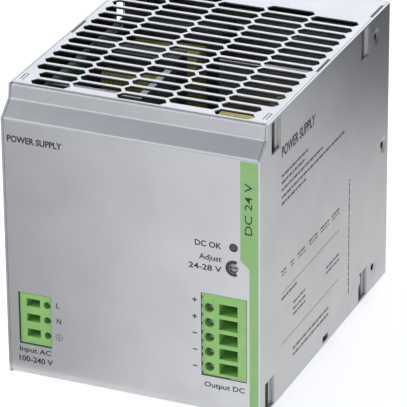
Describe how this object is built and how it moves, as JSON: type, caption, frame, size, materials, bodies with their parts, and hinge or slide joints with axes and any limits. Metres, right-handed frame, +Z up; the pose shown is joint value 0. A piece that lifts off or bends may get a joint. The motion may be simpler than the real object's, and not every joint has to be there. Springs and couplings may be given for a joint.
{
  "type": "din rail power supply",
  "caption": "Box-shaped sheet-metal supply with a slotted top, plug-in screw terminals on the front, a trimmer, a lamp and a sprung foot for a 35 mm rail.",
  "frame": {"origin": "centre of the underside of the bounding box", "axes": "+X to the right seen from the front, +Y from the front towards the rail, +Z up"},
  "size_m": [0.115, 0.1554, 0.13],
  "materials": {
    "housing_sheet": "satin brushed",
    "foot_aluminium": "satin",
    "zinc_steel": "zinc plated",
    "circuit_board": "solder mask",
    "insulation": "translucent film",
    "terminal_green": "moulded",
    "terminal_metal": "nickel plated",
    "ferrite": "matt",
    "copper_wire": "enamelled",
    "yellow_tape": "taped",
    "fuse_ceramic": "glazed",
    "white_case": "moulded",
    "yellow_case": "moulded",
    "varistor_lacquer": "dipped lacquer",
    "blue_lacquer": "dipped lacquer",
    "sink_aluminium": "extruded",
    "black_epoxy": "moulded",
    "can_sleeve": "shrink sleeve",
    "lamp_green": "tinted",
    "light_pipe": "tinted",
    "trimmer_blue": "moulded",
    "trimmer_white": "moulded",
    "cable_sheath": "extruded"
  },
  "bodies": {
    "housing": {"board_link_cables": "cable_sheath", "board_screws": "zinc_steel", "board_spacers": "zinc_steel", "bridge_rectifier": "black_epoxy", "bulk_capacitors": "can_sleeve", "cover_screws": "zinc_steel", "front_top_cover": "housing_sheet", "indicator_light_pipe": "light_pipe", "input_fuse": "fuse_ceramic", "input_header": "terminal_green", "input_header_pins": "terminal_metal", "insulation_film": "insulation", "latch_keeper": "zinc_steel", "latch_spring": "zinc_steel", "line_capacitor": "white_case", "line_choke_core": "ferrite", "line_choke_winding": "copper_wire", "output_board": "circuit_board", "output_capacitors": "can_sleeve", "output_choke_core": "ferrite", "output_choke_winding": "copper_wire", "output_film_capacitor": "yellow_case", "output_header": "terminal_green", "output_header_pins": "terminal_metal", "output_heat_sink": "sink_aluminium", "output_rectifiers": "black_epoxy", "pfc_choke_core": "ferrite", "pfc_choke_winding": "yellow_tape", "primary_board": "circuit_board", "primary_heat_sink": "sink_aluminium", "rail_foot_plate": "foot_aluminium", "rail_foot_screws": "zinc_steel", "side_back_shell": "housing_sheet", "status_led": "lamp_green", "suppression_capacitors": "blue_lacquer", "switching_transistors": "black_epoxy", "transformer_core": "ferrite", "transformer_winding": "yellow_tape", "trimmer_body": "trimmer_blue", "varistor": "varistor_lacquer"},
    "output_plug": {"output_plug": "terminal_green"},
    "output_screw_1": {"output_terminal_screw_1": "terminal_metal"},
    "output_jaw_1": {"output_clamp_jaw_1": "terminal_metal"},
    "output_screw_2": {"output_terminal_screw_2": "terminal_metal"},
    "output_jaw_2": {"output_clamp_jaw_2": "terminal_metal"},
    "output_screw_3": {"output_terminal_screw_3": "terminal_metal"},
    "output_jaw_3": {"output_clamp_jaw_3": "terminal_metal"},
    "output_screw_4": {"output_terminal_screw_4": "terminal_metal"},
    "output_jaw_4": {"output_clamp_jaw_4": "terminal_metal"},
    "output_screw_5": {"output_terminal_screw_5": "terminal_metal"},
    "output_jaw_5": {"output_clamp_jaw_5": "terminal_metal"},
    "input_plug": {"input_plug": "terminal_green"},
    "input_screw_1": {"input_terminal_screw_1": "terminal_metal"},
    "input_jaw_1": {"input_clamp_jaw_1": "terminal_metal"},
    "input_screw_2": {"input_terminal_screw_2": "terminal_metal"},
    "input_jaw_2": {"input_clamp_jaw_2": "terminal_metal"},
    "input_screw_3": {"input_terminal_screw_3": "terminal_metal"},
    "input_jaw_3": {"input_clamp_jaw_3": "terminal_metal"},
    "trimmer_rotor": {"trimmer_rotor": "trimmer_white"},
    "rail_latch": {"rail_latch": "zinc_steel"}
  },
  "joints": [
    {"name": "output_plug_pull", "type": "slide", "parent": "housing", "child": "output_plug", "axis": [0, -1, 0], "range_m": [0, 0.02]},
    {"name": "output_screw_1_turn", "type": "hinge", "parent": "output_plug", "child": "output_screw_1", "pos_m": [0.0346, -0.07475, 0.0203], "axis": [0, 1, 0], "range_deg": [0, 1440]},
    {"name": "output_jaw_1_close", "type": "slide", "parent": "output_plug", "child": "output_jaw_1", "axis": [1, 0, 0], "range_m": [0, 0.002]},
    {"name": "output_screw_2_turn", "type": "hinge", "parent": "output_plug", "child": "output_screw_2", "pos_m": [0.0346, -0.07475, 0.02713], "axis": [0, 1, 0], "range_deg": [0, 1440]},
    {"name": "output_jaw_2_close", "type": "slide", "parent": "output_plug", "child": "output_jaw_2", "axis": [1, 0, 0], "range_m": [0, 0.002]},
    {"name": "output_screw_3_turn", "type": "hinge", "parent": "output_plug", "child": "output_screw_3", "pos_m": [0.0346, -0.07475, 0.03396], "axis": [0, 1, 0], "range_deg": [0, 1440]},
    {"name": "output_jaw_3_close", "type": "slide", "parent": "output_plug", "child": "output_jaw_3", "axis": [1, 0, 0], "range_m": [0, 0.002]},
    {"name": "output_screw_4_turn", "type": "hinge", "parent": "output_plug", "child": "output_screw_4", "pos_m": [0.0346, -0.07475, 0.04079], "axis": [0, 1, 0], "range_deg": [0, 1440]},
    {"name": "output_jaw_4_close", "type": "slide", "parent": "output_plug", "child": "output_jaw_4", "axis": [1, 0, 0], "range_m": [0, 0.002]},
    {"name": "output_screw_5_turn", "type": "hinge", "parent": "output_plug", "child": "output_screw_5", "pos_m": [0.0346, -0.07475, 0.04762], "axis": [0, 1, 0], "range_deg": [0, 1440]},
    {"name": "output_jaw_5_close", "type": "slide", "parent": "output_plug", "child": "output_jaw_5", "axis": [1, 0, 0], "range_m": [0, 0.002]},
    {"name": "input_plug_pull", "type": "slide", "parent": "housing", "child": "input_plug", "axis": [0, -1, 0], "range_m": [0, 0.02]},
    {"name": "input_screw_1_turn", "type": "hinge", "parent": "input_plug", "child": "input_screw_1", "pos_m": [-0.03915, -0.07475, 0.02], "axis": [0, 1, 0], "range_deg": [0, 1440]},
    {"name": "input_jaw_1_close", "type": "slide", "parent": "input_plug", "child": "input_jaw_1", "axis": [-1, 0, 0], "range_m": [0, 0.002]},
    {"name": "input_screw_2_turn", "type": "hinge", "parent": "input_plug", "child": "input_screw_2", "pos_m": [-0.03915, -0.07475, 0.0271], "axis": [0, 1, 0], "range_deg": [0, 1440]},
    {"name": "input_jaw_2_close", "type": "slide", "parent": "input_plug", "child": "input_jaw_2", "axis": [-1, 0, 0], "range_m": [0, 0.002]},
    {"name": "input_screw_3_turn", "type": "hinge", "parent": "input_plug", "child": "input_screw_3", "pos_m": [-0.03915, -0.07475, 0.0342], "axis": [0, 1, 0], "range_deg": [0, 1440]},
    {"name": "input_jaw_3_close", "type": "slide", "parent": "input_plug", "child": "input_jaw_3", "axis": [-1, 0, 0], "range_m": [0, 0.002]},
    {"name": "voltage_trim", "type": "hinge", "parent": "housing", "child": "trimmer_rotor", "pos_m": [0.0458, -0.07475, 0.0678], "axis": [0, 1, 0], "range_deg": [-135, 135]},
    {"name": "rail_latch_pull", "type": "slide", "parent": "housing", "child": "rail_latch", "axis": [0, 0, -1], "range_m": [0, 0.004], "stiffness_N_per_m": 600, "springref_m": -0.006, "deforming": ["latch_spring"]}
  ],
  "couplings": [
    {"joint": "output_screw_1_turn", "follows": "output_jaw_1_close", "rad_per_m": 12566},
    {"joint": "output_screw_2_turn", "follows": "output_jaw_2_close", "rad_per_m": 12566},
    {"joint": "output_screw_3_turn", "follows": "output_jaw_3_close", "rad_per_m": 12566},
    {"joint": "output_screw_4_turn", "follows": "output_jaw_4_close", "rad_per_m": 12566},
    {"joint": "output_screw_5_turn", "follows": "output_jaw_5_close", "rad_per_m": 12566},
    {"joint": "input_screw_1_turn", "follows": "input_jaw_1_close", "rad_per_m": 12566},
    {"joint": "input_screw_2_turn", "follows": "input_jaw_2_close", "rad_per_m": 12566},
    {"joint": "input_screw_3_turn", "follows": "input_jaw_3_close", "rad_per_m": 12566}
  ]
}
